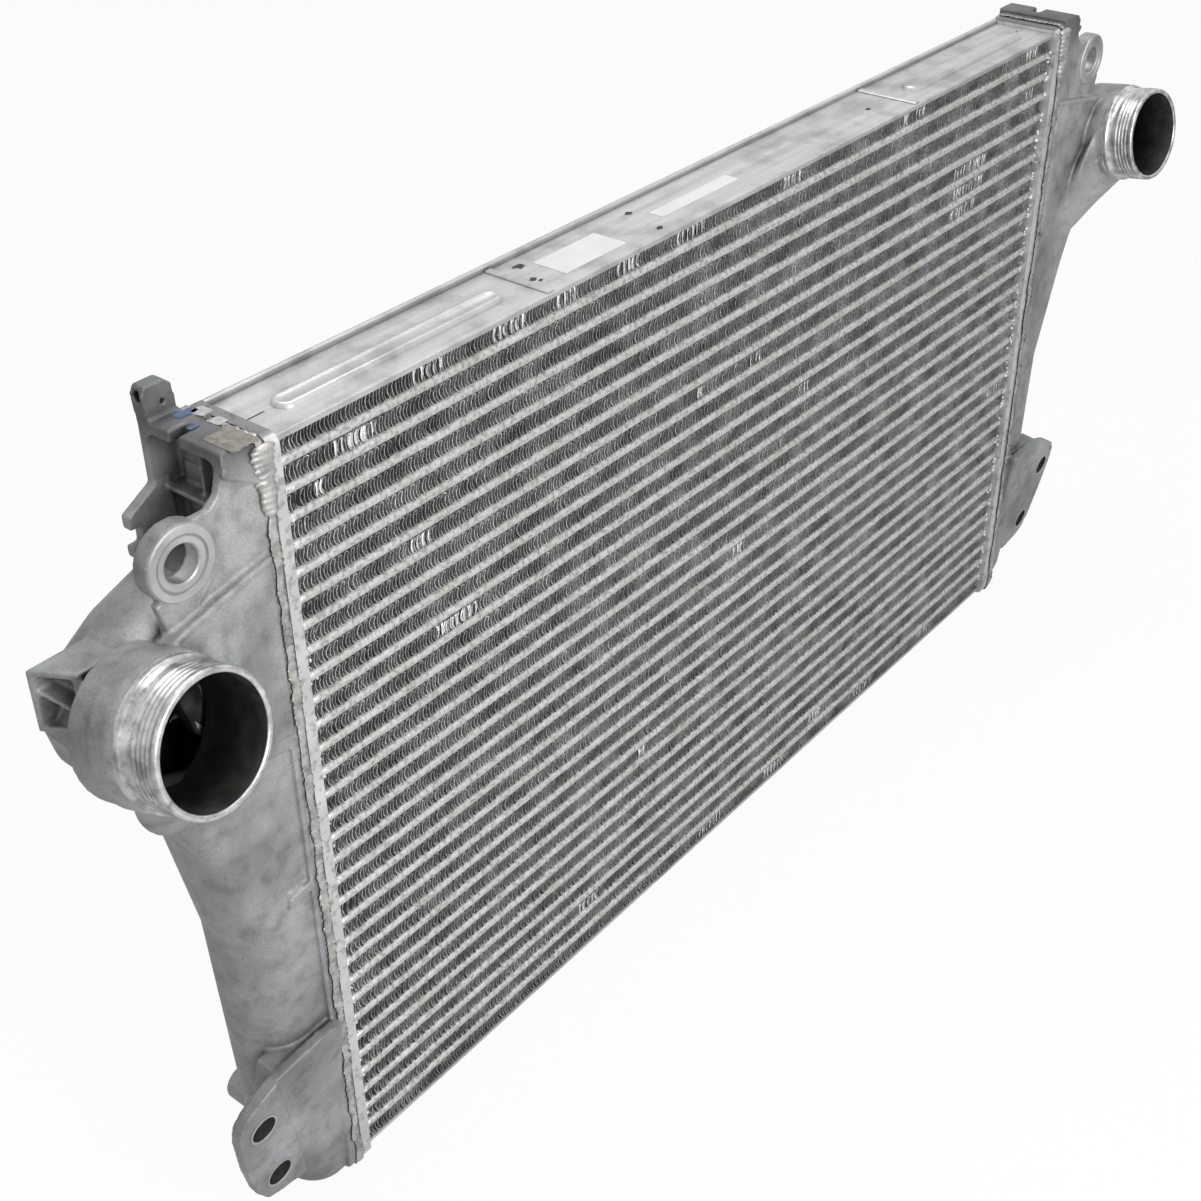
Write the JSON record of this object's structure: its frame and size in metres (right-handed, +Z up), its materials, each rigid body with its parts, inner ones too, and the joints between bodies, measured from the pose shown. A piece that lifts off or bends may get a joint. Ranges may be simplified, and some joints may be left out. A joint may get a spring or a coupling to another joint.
{
  "type": "charge air intercooler",
  "caption": "Air-to-air intercooler: a brazed core of flat tubes and folded fins between two cast tanks with hose spigots, lugs and foot brackets.",
  "frame": {"origin": "middle of the whole box", "axes": "+X across the width towards the outlet tank, +Y from the front face to the back, +Z up; the spigots face -Y"},
  "size_m": [1.3534, 0.1476, 0.691],
  "materials": {
    "cast_aluminium": "sand cast, matte grey, a little oxidised",
    "header_aluminium": "bright brazed sheet",
    "tube_aluminium": "dull extruded tube with flux marks",
    "fin_aluminium": "thin rolled sheet, folded",
    "turbulator_aluminium": "thin rolled sheet",
    "plate_aluminium": "rolled sheet with a soft sheen",
    "weld_aluminium": "rippled weld metal",
    "label_film": "blank self-adhesive film"
  },
  "bodies": {
    "root": {"tube_01": "tube_aluminium", "tube_02": "tube_aluminium", "tube_03": "tube_aluminium", "tube_04": "tube_aluminium", "tube_05": "tube_aluminium", "tube_06": "tube_aluminium", "tube_07": "tube_aluminium", "tube_08": "tube_aluminium", "tube_09": "tube_aluminium", "tube_10": "tube_aluminium", "tube_11": "tube_aluminium", "tube_12": "tube_aluminium", "tube_13": "tube_aluminium", "tube_14": "tube_aluminium", "tube_15": "tube_aluminium", "tube_16": "tube_aluminium", "tube_17": "tube_aluminium", "tube_18": "tube_aluminium", "tube_19": "tube_aluminium", "tube_20": "tube_aluminium", "tube_21": "tube_aluminium", "tube_22": "tube_aluminium", "tube_23": "tube_aluminium", "tube_24": "tube_aluminium", "tube_25": "tube_aluminium", "tube_26": "tube_aluminium", "tube_27": "tube_aluminium", "tube_28": "tube_aluminium", "tube_29": "tube_aluminium", "tube_30": "tube_aluminium", "tube_31": "tube_aluminium", "turbulators": "turbulator_aluminium", "air_fins": "fin_aluminium", "top_plate": "plate_aluminium", "bottom_plate": "plate_aluminium", "inner_label": "label_film", "outer_label": "label_film", "inlet_header": "header_aluminium", "outlet_header": "header_aluminium", "inlet_weld": "weld_aluminium", "outlet_weld": "weld_aluminium", "inlet_tank": "cast_aluminium", "outlet_tank": "cast_aluminium"}
  },
  "joints": []
}
